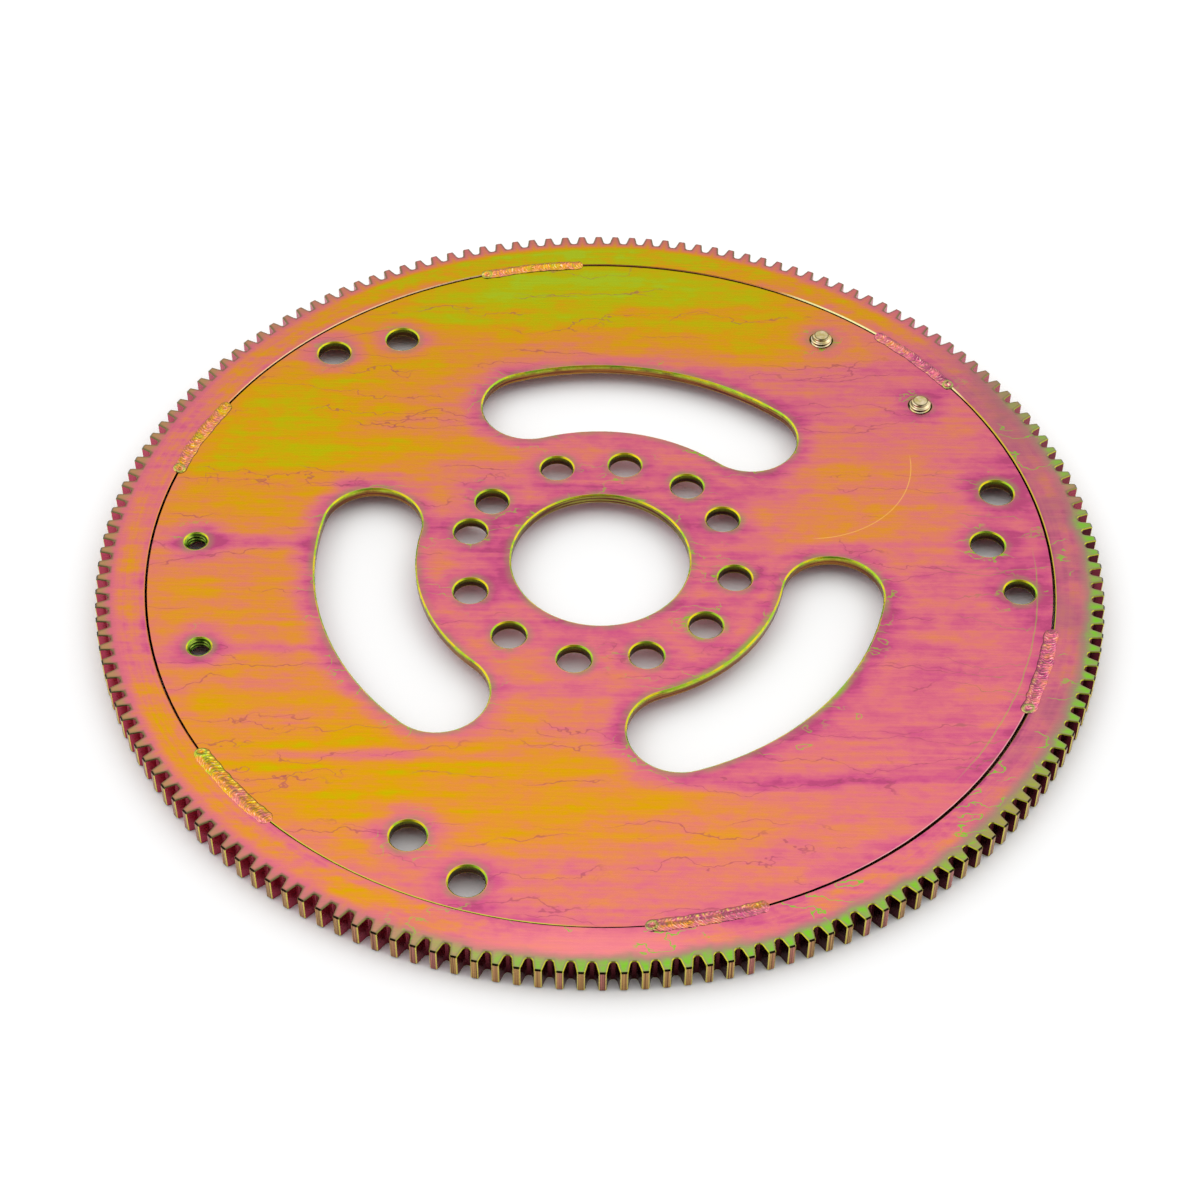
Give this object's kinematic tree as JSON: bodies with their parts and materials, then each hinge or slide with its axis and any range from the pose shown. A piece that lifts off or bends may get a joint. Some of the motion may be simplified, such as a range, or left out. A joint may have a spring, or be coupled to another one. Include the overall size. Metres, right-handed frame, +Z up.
{
  "type": "flexplate",
  "caption": "Flat steel drive plate with arc windows and bolt circles, skip-welded inside a toothed starter ring, with a screwed-on balance weight below.",
  "frame": {"origin": "centre of the ring gear on its lower face, which the part rests on", "axes": "+Z up along the bore axis; +X and +Y lie in the plate, with the first top weld 41.7 degrees from +X"},
  "size_m": [0.35, 0.35, 0.0116],
  "materials": {
    "plate": "yellow zinc chromate over rolled sheet, pink to gold, satin",
    "ring": "yellow zinc chromate over machined steel, pink to gold, satin",
    "weld": "yellow zinc chromate over rippled weld metal",
    "weight": "yellow zinc chromate, satin",
    "screw": "pale zinc, bright"
  },
  "bodies": {
    "root": {"flex_plate": "plate", "ring_gear": "ring", "weld_bead_1": "weld", "weld_bead_2": "weld", "weld_bead_3": "weld", "weld_bead_4": "weld", "weld_bead_5": "weld", "weld_bead_6": "weld", "under_weld_1": "weld", "under_weld_2": "weld", "under_weld_3": "weld", "under_weld_4": "weld", "under_weld_5": "weld", "under_weld_6": "weld", "balance_weight": "weight", "weight_screw_1": "screw", "weight_screw_2": "screw"}
  },
  "joints": []
}
